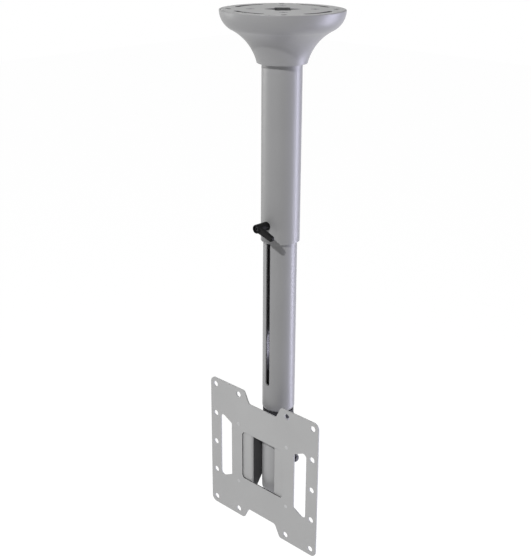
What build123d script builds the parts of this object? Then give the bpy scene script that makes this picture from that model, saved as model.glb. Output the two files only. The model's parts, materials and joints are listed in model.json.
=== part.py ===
from build123d import *
import os
from math import asin, atan2, cos, hypot, radians, sin, sqrt

os.makedirs("parts", exist_ok=True)

# All sizes are in millimetres. The origin is the centre of the ceiling plate's upper
# face, +Z is up, and the screen plate faces -Y.

# Clearances
running_clearance = 0.05      # a shaft or bolt that turns in its bore
sliding_clearance = 0.10      # a tube that slides in its guide
seating_clearance = 0.05      # a piece pressed or slipped over another and kept there
cover_clearance = 0.3         # the loose cover round the plate and the tube

# Ceiling plate, whose rim lies just inside the cover's
ceiling_plate_thickness = 4.0
fixing_slot_inset = 14.9      # from the plate's rim to the centre line of the arc slots
fixing_slot_width = 7.0
fixing_slot_sweep = 40.0      # degrees between the centres of a slot's round ends
fixing_slot_count = 4
fixing_hole_inset = 10.4      # from the plate's rim to the plain holes between the slots
fixing_hole_diameter = 8.5
cable_opening_length = 40.0
cable_opening_width = 21.0
cable_opening_corner = 4.0
cable_opening_waist = 13.0    # radius of the round middle of the opening
keyway_reach = 22.8           # the opening narrows to a small round end this far out
keyway_tip_radius = 1.9
plate_pattern_angle = 45.0    # the plate's pattern is turned this much from the screen
lug_notch_radius = 2.0
lug_notch_angle = 122.0

# Collar that holds the outer tube
collar_flange_radius = 51.0
collar_flange_thickness = 5.0
collar_wall = 5.5
collar_height = 38.0          # below the flange
collar_root_fillet = 4.0
collar_rim_fillet = 1.0
flange_screw_circle = 42.0
flange_screw_radius = 3.0
flange_screw_head_radius = 6.0
flange_screw_socket_flats = 4.0
flange_screw_socket_depth = 2.4
lock_screw_count = 3
lock_screw_radius = 3.0
lock_screw_drop = 21.0        # below the flange's lower face
lock_screw_first_angle = 90.0
lock_screw_socket_flats = 3.0
lock_screw_socket_depth = 2.5
lock_screw_recess = 0.3       # its inner end stays this far inside the tube's bore

# Ceiling cover
cover_rim_radius = 82.7
cover_wall = 2.0
cover_height = 68.2
cover_shoulder_radius = 28.4  # round shoulder under the rim
cover_flare_radius = 66.2     # hollow flare from the shoulder to the neck
cover_neck_radius = 33.7
cover_neck_fillet = 1.0
cover_top_gap = 0.3           # the rim stays this far below the ceiling
cover_lug_height = 3.2

# Tubes
tube_wall = 2.0
tube_rim_fillet = 0.4
outer_tube_radius = 27.3
outer_tube_length = 309.5
inner_tube_radius = 23.9
inner_tube_length = 326.2
inner_tube_above_clamp = 38.0
rolled_end_radius = 5.0       # the inner tube's lower end is rolled inwards
slot_width = 7.3
slot_bottom_margin = 42.5     # from the tube's lower end to the slot's lower end
cable_exit_width = 14.0
cable_exit_height = 40.0
cable_exit_drop = 245.0       # from the tube's upper end to the middle of the exit
lower_guide_height = 42.0
lower_guide_inset = 1.0
upper_guide_height = 15.0
guide_pip_radius = 2.5
guide_pip_length = 3.0

# Clamp
clamp_above_rim = 25.5        # clamp axis above the outer tube's lower rim
stud_radius = 3.0
stud_hole_clearance = 0.4
stud_end = 1.0                # past the nut block
nut_block_thickness = 8.0
nut_block_width = 20.0
nut_block_height = 26.0
nut_block_gap = 0.2
nut_block_fillet = 2.0
rib_width_clearance = 0.4     # across the slot, both sides together
rib_height = 16.0
rib_end_clearance = 0.5
rib_set_back = 0.3            # the rib stays this far inside the tube's outer face
saddle_radius = 6.2
saddle_thickness = 1.4        # at its thinnest, over the tube
insert_flange_radius = 5.0
insert_flange_length = 2.5
insert_core_radius = 3.8
insert_core_length = 6.4
serration_count = 16
serration_depth = 0.6
lever_hub_radius = 6.25
lever_hub_length = 20.0
lever_hub_fillet = 1.4
lever_rear_gap = 0.2
lever_web = 1.8
lever_lift = 2.6              # the lever is pulled out this far to turn it on the insert
lever_recess_radius = 4.3
lever_arm_root = 15.3         # arm's middle plane, in front of the hub's rear end
lever_arm_length = 31.0       # from the hub's axis to the end of the arm
lever_arm_root_radius = 5.2
lever_arm_tip_radius = 3.9
lever_arm_thickness = 6.2
lever_arm_edge = 1.6
lever_arm_turn = -18.0        # degrees from +X, seen from the front
lever_arm_rise = 1.0          # degrees outwards from the hub's end plane
lever_screw_radius = 2.0
lever_screw_head_radius = 3.7
lever_screw_head_length = 2.4
lever_screw_reach = 4.6       # length of thread in the insert
lever_screw_run_out = 1.0     # depth of the insert's hole past the screw
lever_screw_socket_flats = 2.5
lever_screw_socket_depth = 1.4
spring_wire = 0.5
spring_turns = 3
spring_coil_radius = 3.0

# Swivel
swivel_ring_radius = 22.9
swivel_ring_height = 11.0
plug_height = 20.0            # above the rolled end
plug_boss_radius = 18.6
plug_corner = 3.2
plug_chamfer = 1.0
swivel_bolt_radius = 5.0
swivel_bolt_flats = 16.0
swivel_bolt_head = 6.4
swivel_bolt_end = 1.6         # past the lock nut
swivel_washer_radius = 10.5
swivel_washer_thickness = 2.0
swivel_spring_radius = 10.0
swivel_spring_thickness = 1.1
swivel_nut_flats = 16.0
swivel_nut_hex = 7.0
swivel_nut_collar = 3.0

# Swivel head
head_radius = 23.7
head_length = 133.0
head_bottom_fillet = 11.0
head_top_chamfer = 0.8
head_flat = 20.8              # from the axis to each side flat
head_flat_rise = 40.0         # the flats reach this far above the pivot
head_crown = 33.0             # solid length over the bolt's pocket
head_pocket_radius = 10.2
pivot_drop = 63.0             # from the head's top to the tilt pivot

# Tilt pivot
pivot_radius = 4.0
pivot_bolt_flats = 13.0
pivot_bolt_head = 5.3
pivot_bolt_end = 1.7
friction_washer_radius = 11.0
pivot_washer_radius = 8.0
pivot_washer_thickness = 2.0
pivot_spring_radius = 8.0
pivot_spring_thickness = 2.6
pivot_nut_flats = 13.0
pivot_nut_hex = 6.4
pivot_nut_collar = 2.4

# Tilt arms
arm_gap = 22.3                # from the middle plane to an arm's inner face
arm_thickness = 3.0
arm_bend_radius = 0.6         # inside the fold
arm_flange_reach = 60.0
arm_half_height = 66.5
arm_flange_corner = 8.0
arm_taper = 1.46              # rise of the slanted edges for each millimetre of depth
arm_ear_radius = 11.0
arm_back_edge = 4.6           # behind the pivot
arm_ear_blend = 3.0

# Screen plate
screen_plate_thickness = 2.0
screen_plate_corner = 9.0
screen_plate_standoff = 32.5  # from the mast's axis to the plate's back
pivot_above_centre = 12.4
vesa_pitch = 200.0
vesa_edge_margin = 10.5       # from the outer holes to the plate's edges
vesa_hole_diameter = 9.0
vesa_side_holes = 5           # down each side edge
notch_depth = 19.0
notch_mouth = 76.0
notch_floor = 56.0
notch_fillet = 5.5
window_width = 84.0
window_height = 80.0
window_corner = 5.5
side_window_margin = 5.0      # from an arm's flange to the side window
side_window_set_in = 11.0     # from the outer holes to the side window
side_window_inner_height = 90.0
side_window_outer_height = 114.0
side_window_outer_corner = 6.0
side_window_inner_corner = 2.0
rivet_pitch = 100.0           # between an arm's two rivets
rivet_edge_margin = 10.0      # from a flange's edge to its rivets
rivet_radius = 2.0
rivet_head_radius = 3.0
rivet_dome_radius = 4.2
rivet_dome_height = 2.0
rivet_dome_fillet = 1.6

# Shapes shared by the small turned parts
small_chamfer_share = 0.15    # of a washer's thickness or a bolt's radius
spring_dish_share = 0.25      # of a disc spring's height
hexagon_turned_share = 0.485  # radius of the turned end face, of the width across flats
nut_collar_share = 0.44       # radius of a lock nut's collar, of the width across flats
collar_fillet_share = 0.33    # round on the collar's end, of its height
corner_tolerance = 0.1        # a sketch's corner is found within this distance

# Places worked out from the sizes
ceiling_plate_radius = cover_rim_radius - cover_wall - cover_clearance
fixing_slot_radius = ceiling_plate_radius - fixing_slot_inset
fixing_hole_radius = ceiling_plate_radius - fixing_hole_inset
outer_bore = outer_tube_radius - tube_wall
inner_bore = inner_tube_radius - tube_wall
flange_top = -ceiling_plate_thickness
flange_bottom = flange_top - collar_flange_thickness
collar_bottom = flange_bottom - collar_height
lock_screw_z = flange_bottom - lock_screw_drop
cover_top = -cover_top_gap
cover_bottom = cover_top - cover_height
outer_tube_top = flange_top
outer_tube_bottom = outer_tube_top - outer_tube_length
clamp_z = outer_tube_bottom + clamp_above_rim
inner_tube_top = clamp_z + inner_tube_above_clamp
inner_tube_bottom = inner_tube_top - inner_tube_length
slot_top = clamp_z + rib_height / 2 + rib_end_clearance
slot_bottom = inner_tube_bottom + slot_bottom_margin
cable_exit_z = inner_tube_top - cable_exit_drop
ring_bottom = inner_tube_bottom - swivel_ring_height
head_top = ring_bottom
head_bottom = head_top - head_length
pocket_top = head_top - head_crown
pivot_z = head_top - pivot_drop
plug_shoulder = inner_tube_bottom + tube_wall + seating_clearance
plug_top = plug_shoulder + plug_height
swivel_nut_z = plug_top + swivel_washer_thickness + swivel_spring_thickness
arm_outer = arm_gap + arm_thickness
plate_centre_z = pivot_z - pivot_above_centre
plate_back = -screen_plate_standoff
flange_back = plate_back + arm_thickness
screen_plate_size = vesa_pitch + 2 * vesa_edge_margin
side_window_inner = arm_flange_reach + side_window_margin
side_window_outer = vesa_pitch / 2 - side_window_set_in
rivet_columns = 2 * (arm_flange_reach - rivet_edge_margin)


def turned(radius, angle, z=0.0):
    """A point at a radius and an angle in degrees round the mast's axis."""
    return (radius * cos(radians(angle)), radius * sin(radians(angle)), z)


def radial_plane(radius, angle, z):
    """A plane whose normal points away from the mast's axis."""
    return Plane(origin=turned(radius, angle, z), z_dir=turned(1, angle))


def hexagon(flats):
    """Corner radius of a hexagon from the distance across its flats."""
    return flats / sqrt(3)


# Ceiling plate: a steel disc with arc slots and holes for the ceiling screws
with BuildPart() as ceiling_plate:
    with BuildSketch(Plane.XY.offset(flange_top)):
        Circle(ceiling_plate_radius)
        for index in range(fixing_slot_count):
            middle = index * 360 / fixing_slot_count
            slot_line = Edge.make_circle(
                fixing_slot_radius,
                start_angle=middle - fixing_slot_sweep / 2,
                end_angle=middle + fixing_slot_sweep / 2,
            )
            SlotArc(slot_line, fixing_slot_width, mode=Mode.SUBTRACT)
        with PolarLocations(fixing_hole_radius, fixing_slot_count, start_angle=plate_pattern_angle):
            Circle(fixing_hole_diameter / 2, mode=Mode.SUBTRACT)
        with PolarLocations(ceiling_plate_radius, 2, start_angle=lug_notch_angle):
            Circle(lug_notch_radius, mode=Mode.SUBTRACT)
    extrude(amount=ceiling_plate_thickness)
    with BuildSketch(Plane.XY.offset(flange_top)) as opening:
        with BuildSketch(mode=Mode.PRIVATE) as keyway:
            Circle(cable_opening_waist)
            with PolarLocations(keyway_reach, 2, start_angle=plate_pattern_angle):
                Circle(keyway_tip_radius)
            make_hull()
        add(keyway.sketch)
        with Locations(Location((0, 0), plate_pattern_angle)):
            RectangleRounded(cable_opening_width, cable_opening_length, cable_opening_corner)
    extrude(amount=ceiling_plate_thickness, mode=Mode.SUBTRACT)
    with Locations(Plane.XY):
        with PolarLocations(flange_screw_circle, 4, start_angle=plate_pattern_angle):
            CounterSinkHole(
                flange_screw_radius + seating_clearance,
                flange_screw_head_radius + seating_clearance,
                depth=ceiling_plate_thickness,
            )
ceiling_plate.part.label = "ceiling_plate"
export_step(ceiling_plate.part, "parts/ceiling_plate.step")

# Tube collar: a flanged socket under the plate
with BuildPart() as tube_collar:
    with BuildSketch(Plane.XZ):
        with BuildLine():
            Polyline(
                (outer_tube_radius + seating_clearance, flange_top),
                (collar_flange_radius, flange_top),
                (collar_flange_radius, flange_bottom),
                (outer_tube_radius + collar_wall, flange_bottom),
                (outer_tube_radius + collar_wall, collar_bottom),
                (outer_tube_radius + seating_clearance, collar_bottom),
                close=True,
            )
        make_face()
    revolve(axis=Axis.Z)
    root = tube_collar.edges().filter_by(GeomType.CIRCLE).group_by(Axis.Z)[1]
    fillet(root.sort_by(SortBy.RADIUS)[0], collar_root_fillet)
    fillet(tube_collar.edges().group_by(Axis.Z)[0].sort_by(SortBy.RADIUS)[-1], collar_rim_fillet)
    with Locations(Plane.XY.offset(flange_top)):
        with PolarLocations(flange_screw_circle, 4, start_angle=plate_pattern_angle):
            Hole(flange_screw_radius + seating_clearance, depth=collar_flange_thickness)
    for index in range(lock_screw_count):
        angle = lock_screw_first_angle + index * 360 / lock_screw_count
        with Locations(radial_plane(outer_tube_radius - tube_wall, angle, lock_screw_z)):
            Cylinder(
                lock_screw_radius + seating_clearance,
                tube_wall + collar_wall * 2,
                align=(Align.CENTER, Align.CENTER, Align.MIN),
                mode=Mode.SUBTRACT,
            )
tube_collar.part.label = "tube_collar"
export_step(tube_collar.part, "parts/tube_collar.step")

# Flange screws: countersunk, flush with the plate's upper face
with BuildPart() as flange_screws:
    with PolarLocations(flange_screw_circle, 4, start_angle=plate_pattern_angle):
        Cylinder(
            flange_screw_radius,
            -flange_bottom,
            align=(Align.CENTER, Align.CENTER, Align.MAX),
        )
        Cone(
            flange_screw_radius,
            flange_screw_head_radius,
            flange_screw_head_radius - flange_screw_radius,
            align=(Align.CENTER, Align.CENTER, Align.MAX),
        )
    with BuildSketch():
        with PolarLocations(flange_screw_circle, 4, start_angle=plate_pattern_angle):
            RegularPolygon(hexagon(flange_screw_socket_flats), 6)
    extrude(amount=-flange_screw_socket_depth, mode=Mode.SUBTRACT)
flange_screws.part.label = "flange_screws"
export_step(flange_screws.part, "parts/flange_screws.step")

# Lock screws: socket set screws that go through the collar into the outer tube
lock_screw_inner_end = outer_bore + lock_screw_recess
lock_screw_length = outer_tube_radius + collar_wall - lock_screw_inner_end
with BuildPart() as lock_screws:
    for index in range(lock_screw_count):
        angle = lock_screw_first_angle + index * 360 / lock_screw_count
        with Locations(radial_plane(lock_screw_inner_end, angle, lock_screw_z)):
            Cylinder(
                lock_screw_radius,
                lock_screw_length,
                align=(Align.CENTER, Align.CENTER, Align.MIN),
            )
        with BuildSketch(radial_plane(outer_tube_radius + collar_wall, angle, lock_screw_z)):
            RegularPolygon(hexagon(lock_screw_socket_flats), 6)
        extrude(amount=-lock_screw_socket_depth, mode=Mode.SUBTRACT)
lock_screws.part.label = "lock_screws"
export_step(lock_screws.part, "parts/lock_screws.step")


def flare_joint(rim, shoulder, flare, neck):
    """Where the cover's round shoulder runs into its hollow flare.

    The shoulder's centre is level with the rim. The flare touches it from outside and
    ends on the neck, so its centre is where two circles meet.
    """
    shoulder_centre = (rim - shoulder, cover_top)
    reach = shoulder + flare
    span = hypot(neck[0] - shoulder_centre[0], neck[1] - shoulder_centre[1])
    along = (reach ** 2 - flare ** 2 + span ** 2) / (2 * span)
    aside = sqrt(reach ** 2 - along ** 2)
    unit = ((neck[0] - shoulder_centre[0]) / span, (neck[1] - shoulder_centre[1]) / span)
    flare_centre = (
        shoulder_centre[0] + along * unit[0] - aside * unit[1],
        shoulder_centre[1] + along * unit[1] + aside * unit[0],
    )
    share = shoulder / reach
    joint = tuple(a + (b - a) * share for a, b in zip(shoulder_centre, flare_centre))
    return shoulder_centre, flare_centre, joint


# Ceiling cover: a spun bell that slides on the outer tube
neck_hole = outer_tube_radius + cover_clearance
neck_start = (cover_neck_radius, cover_bottom)
shoulder_centre, flare_centre, outer_joint = flare_joint(
    cover_rim_radius, cover_shoulder_radius, cover_flare_radius, neck_start
)
inner_share = (cover_shoulder_radius - cover_wall) / cover_shoulder_radius
inner_joint = tuple(c + (p - c) * inner_share for c, p in zip(shoulder_centre, outer_joint))
inner_floor = cover_bottom + cover_wall
inner_flare = cover_flare_radius + cover_wall
inner_neck = flare_centre[0] - sqrt(inner_flare ** 2 - (flare_centre[1] - inner_floor) ** 2)
with BuildPart() as ceiling_cover:
    with BuildSketch(Plane.XZ):
        with BuildLine():
            RadiusArc((cover_rim_radius, cover_top), outer_joint, cover_shoulder_radius)
            RadiusArc(outer_joint, neck_start, -cover_flare_radius)
            Polyline(
                neck_start,
                (neck_hole, cover_bottom),
                (neck_hole, inner_floor),
                (inner_neck, inner_floor),
            )
            RadiusArc((inner_neck, inner_floor), inner_joint, inner_flare)
            RadiusArc(
                inner_joint,
                (cover_rim_radius - cover_wall, cover_top),
                cover_wall - cover_shoulder_radius,
            )
            Line((cover_rim_radius - cover_wall, cover_top), (cover_rim_radius, cover_top))
        make_face()
    revolve(axis=Axis.Z)
    fillet(
        ceiling_cover.edges().group_by(Axis.Z)[0].sort_by(SortBy.RADIUS)[-1],
        cover_neck_fillet,
    )
    lug_radius = lug_notch_radius - cover_clearance
    with BuildSketch(Plane.XY.offset(cover_top)):
        with PolarLocations(cover_rim_radius - cover_wall, 2, start_angle=lug_notch_angle):
            Circle(lug_radius)
    extrude(amount=-cover_lug_height)
ceiling_cover.part.label = "ceiling_cover"
export_step(ceiling_cover.part, "parts/ceiling_cover.step")

# Outer tube: held in the collar, with the clamp's hole near its lower rim
with BuildPart() as outer_tube:
    with BuildSketch(Plane.XY.offset(outer_tube_bottom)):
        Circle(outer_tube_radius)
        Circle(outer_bore, mode=Mode.SUBTRACT)
    extrude(amount=outer_tube_length)
    fillet(outer_tube.edges().group_by(Axis.Z)[0], tube_rim_fillet)
    for index in range(lock_screw_count):
        angle = lock_screw_first_angle + index * 360 / lock_screw_count
        with Locations(radial_plane(outer_bore - tube_wall, angle, lock_screw_z)):
            Cylinder(
                lock_screw_radius + seating_clearance,
                tube_wall * 4,
                align=(Align.CENTER, Align.CENTER, Align.MIN),
                mode=Mode.SUBTRACT,
            )
    with Locations(radial_plane(outer_bore - tube_wall, -90, clamp_z)):
        Cylinder(
            stud_radius + stud_hole_clearance,
            tube_wall * 4,
            align=(Align.CENTER, Align.CENTER, Align.MIN),
            mode=Mode.SUBTRACT,
        )
outer_tube.part.label = "outer_tube"
export_step(outer_tube.part, "parts/outer_tube.step")

# Lower guide: a plastic sleeve pressed into the outer tube's end
with BuildPart() as lower_guide:
    with BuildSketch(Plane.XY.offset(outer_tube_bottom + lower_guide_inset)):
        Circle(outer_bore - seating_clearance)
        Circle(inner_tube_radius + sliding_clearance, mode=Mode.SUBTRACT)
    extrude(amount=lower_guide_height)
    with Locations(radial_plane(inner_bore, -90, clamp_z)):
        Cylinder(
            stud_radius + stud_hole_clearance,
            outer_tube_radius - inner_bore,
            align=(Align.CENTER, Align.CENTER, Align.MIN),
            mode=Mode.SUBTRACT,
        )
lower_guide.part.label = "lower_guide"
export_step(lower_guide.part, "parts/lower_guide.step")

# Inner tube: slotted in front, open for the cables at the back, rolled in at its end
rolled_inside = rolled_end_radius - tube_wall
with BuildPart() as inner_tube:
    with BuildSketch(Plane.XZ):
        with BuildLine():
            Polyline(
                (inner_tube_radius, inner_tube_bottom + rolled_end_radius),
                (inner_tube_radius, inner_tube_top),
                (inner_bore, inner_tube_top),
                (inner_bore, inner_tube_bottom + rolled_end_radius),
            )
            RadiusArc(
                (inner_bore, inner_tube_bottom + rolled_end_radius),
                (inner_bore - rolled_inside, inner_tube_bottom + tube_wall),
                rolled_inside,
            )
            Line(
                (inner_bore - rolled_inside, inner_tube_bottom + tube_wall),
                (inner_bore - rolled_inside, inner_tube_bottom),
            )
            RadiusArc(
                (inner_bore - rolled_inside, inner_tube_bottom),
                (inner_tube_radius, inner_tube_bottom + rolled_end_radius),
                -rolled_end_radius,
            )
        make_face()
    revolve(axis=Axis.Z)
    slot_middle = (slot_top + slot_bottom) / 2
    with BuildSketch(Plane.XZ.offset(inner_bore - tube_wall)):
        with Locations((0, slot_middle)):
            SlotOverall(slot_top - slot_bottom, slot_width, rotation=90)
    extrude(amount=tube_wall * 4, mode=Mode.SUBTRACT)
    with BuildSketch(Plane.XZ.offset(-inner_bore / 2)):
        with Locations((0, cable_exit_z)):
            SlotOverall(cable_exit_height, cable_exit_width, rotation=90)
    extrude(amount=-inner_tube_radius, mode=Mode.SUBTRACT)
    guide_z = inner_tube_top - upper_guide_height / 2
    with Locations(
        radial_plane(inner_bore - tube_wall, 0, guide_z),
        radial_plane(inner_bore - tube_wall, 180, guide_z),
    ):
        Cylinder(
            guide_pip_radius + seating_clearance,
            tube_wall * 4,
            align=(Align.CENTER, Align.CENTER, Align.MIN),
            mode=Mode.SUBTRACT,
        )
inner_tube.part.label = "inner_tube"
export_step(inner_tube.part, "parts/inner_tube.step")

# Upper guide: a plastic ring snapped round the inner tube's upper end
with BuildPart() as upper_guide:
    with Locations(
        radial_plane(inner_bore, 0, guide_z),
        radial_plane(inner_bore, 180, guide_z),
    ):
        Cylinder(
            guide_pip_radius,
            guide_pip_length,
            align=(Align.CENTER, Align.CENTER, Align.MIN),
        )
    with BuildSketch(Plane.XY.offset(inner_tube_top - upper_guide_height)):
        Circle(outer_bore - sliding_clearance)
        Circle(inner_tube_radius + seating_clearance, mode=Mode.SUBTRACT)
    extrude(amount=upper_guide_height)
upper_guide.part.label = "upper_guide"
export_step(upper_guide.part, "parts/upper_guide.step")

# Clamp nut: a block inside the inner tube, with a rib that runs in the slot
block_face = inner_bore - nut_block_gap
with BuildPart() as clamp_nut:
    with BuildSketch(Plane.XY.offset(clamp_z - nut_block_height / 2)):
        Circle(block_face)
        with Locations((0, -block_face)):
            Rectangle(nut_block_width, nut_block_thickness * 2, mode=Mode.INTERSECT)
    extrude(amount=nut_block_height)
    fillet(clamp_nut.edges().filter_by(Axis.Z).group_by(Axis.Y)[-1], nut_block_fillet)
    rib_width = slot_width - rib_width_clearance
    with BuildSketch(Plane.XZ.offset(block_face - nut_block_thickness / 2)):
        with Locations((0, clamp_z)):
            SlotOverall(rib_height, rib_width, rotation=90)
    extrude(amount=inner_tube_radius - rib_set_back - block_face + nut_block_thickness / 2)
    with Locations(radial_plane(0, -90, clamp_z)):
        Cylinder(
            stud_radius + running_clearance,
            outer_tube_radius,
            align=(Align.CENTER, Align.CENTER, Align.MIN),
            mode=Mode.SUBTRACT,
        )
clamp_nut.part.label = "clamp_nut"
export_step(clamp_nut.part, "parts/clamp_nut.step")

# Clamp saddle: a washer with one side hollowed to sit on the outer tube
saddle_face = outer_tube_radius + saddle_thickness
with BuildPart() as clamp_saddle:
    with Locations(radial_plane(inner_tube_radius, -90, clamp_z)):
        Cylinder(
            saddle_radius,
            saddle_face - inner_tube_radius,
            align=(Align.CENTER, Align.CENTER, Align.MIN),
        )
        Cylinder(
            stud_radius + running_clearance,
            outer_tube_radius,
            align=(Align.CENTER, Align.CENTER, Align.MIN),
            mode=Mode.SUBTRACT,
        )
    with Locations((0, 0, clamp_z)):
        Cylinder(outer_tube_radius + seating_clearance, saddle_radius * 4, mode=Mode.SUBTRACT)
clamp_saddle.part.label = "clamp_saddle"
export_step(clamp_saddle.part, "parts/clamp_saddle.step")

# Clamp stud: a threaded stud with a serrated flange and a core for the lever
stud_inner_end = block_face - nut_block_thickness - stud_end
insert_front = saddle_face + insert_flange_length + insert_core_length
serration_angle = 360 / serration_count
clamp_front = Plane(origin=(0, 0, clamp_z), x_dir=(1, 0, 0), z_dir=(0, -1, 0))


def serrated_outline(outer, depth, gap):
    """Points of a ring of pointed teeth, spread outwards by a gap."""
    points = []
    for index in range(serration_count):
        for turn, radius in ((0, outer), (0.5, outer - depth)):
            angle = radians((index + turn) * serration_angle)
            points.append(((radius + gap) * cos(angle), (radius + gap) * sin(angle)))
    return points


with BuildPart() as clamp_stud:
    with BuildSketch(clamp_front.offset(stud_inner_end)):
        Circle(stud_radius)
    extrude(amount=saddle_face - stud_inner_end)
    with BuildSketch(clamp_front.offset(saddle_face)):
        Polygon(*serrated_outline(insert_flange_radius, serration_depth, 0), align=None)
    extrude(amount=insert_flange_length)
    with BuildSketch(clamp_front.offset(saddle_face)):
        Circle(insert_core_radius)
    extrude(amount=insert_flange_length + insert_core_length)
    with BuildSketch(clamp_front.offset(insert_front)):
        Circle(lever_screw_radius + seating_clearance)
    extrude(amount=-lever_screw_reach - lever_screw_run_out, mode=Mode.SUBTRACT)
clamp_stud.part.label = "clamp_stud"
export_step(clamp_stud.part, "parts/clamp_stud.step")

# Clamp lever: a moulded hub and arm that lifts off the serrations to be set anew
hub_rear = saddle_face + lever_rear_gap
hub_front = hub_rear + lever_hub_length
serrated_depth = insert_flange_length + lever_rear_gap * 2
web_rear = insert_front + lever_rear_gap * 2
web_front = web_rear + lever_web
arm_length = lever_arm_length - lever_arm_tip_radius
arm_along = Vector(
    cos(radians(lever_arm_rise)) * cos(radians(lever_arm_turn)),
    -sin(radians(lever_arm_rise)),
    cos(radians(lever_arm_rise)) * sin(radians(lever_arm_turn)),
)
arm_across = Vector(-sin(radians(lever_arm_turn)), 0, cos(radians(lever_arm_turn)))
arm_plane = Plane(
    origin=(0, -(hub_rear + lever_arm_root), clamp_z),
    x_dir=arm_along,
    z_dir=arm_along.cross(arm_across),
)
with BuildPart() as clamp_lever:
    with BuildSketch(arm_plane):
        Circle(lever_arm_root_radius)
        with Locations((arm_length, 0)):
            Circle(lever_arm_tip_radius)
        make_hull()
    extrude(amount=lever_arm_thickness / 2, both=True)
    fillet(clamp_lever.edges(), lever_arm_edge)
    with BuildSketch(clamp_front.offset(hub_rear)):
        Circle(lever_hub_radius)
    extrude(amount=lever_hub_length)
    hub_end = (0, -hub_front, clamp_z + lever_hub_radius)
    fillet(clamp_lever.edges().sort_by_distance(hub_end)[0], lever_hub_fillet)
    with BuildSketch(clamp_front.offset(hub_rear)):
        Polygon(
            *serrated_outline(insert_flange_radius, serration_depth, sliding_clearance),
            align=None,
        )
    extrude(amount=serrated_depth, mode=Mode.SUBTRACT)
    with BuildSketch(clamp_front.offset(hub_rear)):
        Circle(insert_core_radius + sliding_clearance)
    extrude(amount=web_rear - hub_rear, mode=Mode.SUBTRACT)
    with BuildSketch(clamp_front.offset(web_rear)):
        Circle(lever_screw_radius + sliding_clearance)
    extrude(amount=lever_web, mode=Mode.SUBTRACT)
    with BuildSketch(clamp_front.offset(web_front)):
        Circle(lever_recess_radius)
    extrude(amount=lever_hub_length, mode=Mode.SUBTRACT)
clamp_lever.part.label = "clamp_lever"
export_step(clamp_lever.part, "parts/clamp_lever.step")

# Lever screw: keeps the lever and its spring on the stud
spring_length = lever_lift + spring_wire * (spring_turns + 1)
screw_head_rear = web_front + spring_length
with BuildPart() as lever_screw:
    with BuildSketch(clamp_front.offset(insert_front - lever_screw_reach)):
        Circle(lever_screw_radius)
    extrude(amount=screw_head_rear - insert_front + lever_screw_reach)
    with BuildSketch(clamp_front.offset(screw_head_rear)):
        Circle(lever_screw_head_radius)
    extrude(amount=lever_screw_head_length)
    fillet(lever_screw.edges().group_by(Axis.Y)[0], lever_screw_head_length / 4)
    with BuildSketch(clamp_front.offset(screw_head_rear + lever_screw_head_length)):
        RegularPolygon(hexagon(lever_screw_socket_flats), 6)
    extrude(amount=-lever_screw_socket_depth, mode=Mode.SUBTRACT)
lever_screw.part.label = "lever_screw"
export_step(lever_screw.part, "parts/lever_screw.step")

# Lever spring: a short coil between the lever's web and the screw's head
coil_pitch = (spring_length - spring_wire) / spring_turns
with BuildPart() as lever_spring:
    with BuildLine():
        coil = Helix(
            coil_pitch,
            coil_pitch * spring_turns,
            spring_coil_radius,
            center=clamp_front.offset(web_front + spring_wire / 2).origin,
            direction=clamp_front.z_dir,
        )
    with BuildSketch(Plane(origin=coil @ 0, z_dir=coil % 0)):
        Circle(spring_wire / 2)
    sweep(path=coil, is_frenet=True)
lever_spring.part.label = "lever_spring"
export_step(lever_spring.part, "parts/lever_spring.step")

# Swivel plug: sits on the inner tube's rolled end and carries the swivel bolt
with BuildPart() as swivel_plug:
    with BuildSketch(Plane.XY.offset(plug_shoulder)):
        Circle(inner_bore - seating_clearance)
    extrude(amount=plug_height)
    fillet(swivel_plug.edges().group_by(Axis.Z)[0], plug_corner)
    chamfer(swivel_plug.edges().group_by(Axis.Z)[-1], plug_chamfer)
    with BuildSketch(Plane.XY.offset(inner_tube_bottom)):
        Circle(plug_boss_radius)
    extrude(amount=plug_shoulder - inner_tube_bottom)
    with BuildSketch(Plane.XY.offset(inner_tube_bottom)):
        Circle(swivel_bolt_radius + seating_clearance)
    extrude(amount=plug_top - inner_tube_bottom, mode=Mode.SUBTRACT)
swivel_plug.part.label = "swivel_plug"
export_step(swivel_plug.part, "parts/swivel_plug.step")

# Swivel ring: the dark friction ring between the mast and the head
with BuildPart() as swivel_ring:
    with BuildSketch(Plane.XY.offset(ring_bottom)):
        Circle(swivel_ring_radius)
        Circle(swivel_bolt_radius + seating_clearance, mode=Mode.SUBTRACT)
    extrude(amount=swivel_ring_height)
swivel_ring.part.label = "swivel_ring"
export_step(swivel_ring.part, "parts/swivel_ring.step")


def washer(inner, outer, thickness, *planes):
    """Flat washers, one starting on each plane."""
    with BuildPart() as blank:
        with BuildSketch(*planes):
            Circle(outer)
            Circle(inner, mode=Mode.SUBTRACT)
        extrude(amount=thickness)
        circles = blank.edges().filter_by(GeomType.CIRCLE)
        rims = circles.filter_by(lambda edge: edge.radius > (inner + outer) / 2)
        chamfer(rims, thickness * small_chamfer_share)
    return blank


def disc_spring(inner, outer, thickness, plane):
    """A disc spring that rests on its rim and is raised at its bore."""
    dish = thickness * spring_dish_share
    section = Plane(origin=plane.origin, x_dir=plane.x_dir, z_dir=-plane.y_dir)
    with BuildPart() as spring:
        with BuildSketch(section):
            with BuildLine():
                Polyline(
                    (outer, 0),
                    (outer, thickness - dish),
                    (inner, thickness),
                    (inner, dish),
                    close=True,
                )
            make_face()
        revolve(axis=Axis(plane.origin, plane.z_dir))
    return spring


def hexagon_blank(flats, height, plane):
    """A hexagon that stands on a plane, with the corners of its far end turned off."""
    turned_end = flats * hexagon_turned_share
    with BuildPart() as blank:
        with BuildSketch(plane):
            RegularPolygon(hexagon(flats), 6)
        extrude(amount=height)
        with Locations(plane):
            Cone(
                turned_end + height * sqrt(3),
                turned_end,
                height,
                align=(Align.CENTER, Align.CENTER, Align.MIN),
                mode=Mode.INTERSECT,
            )
    return blank


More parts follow.
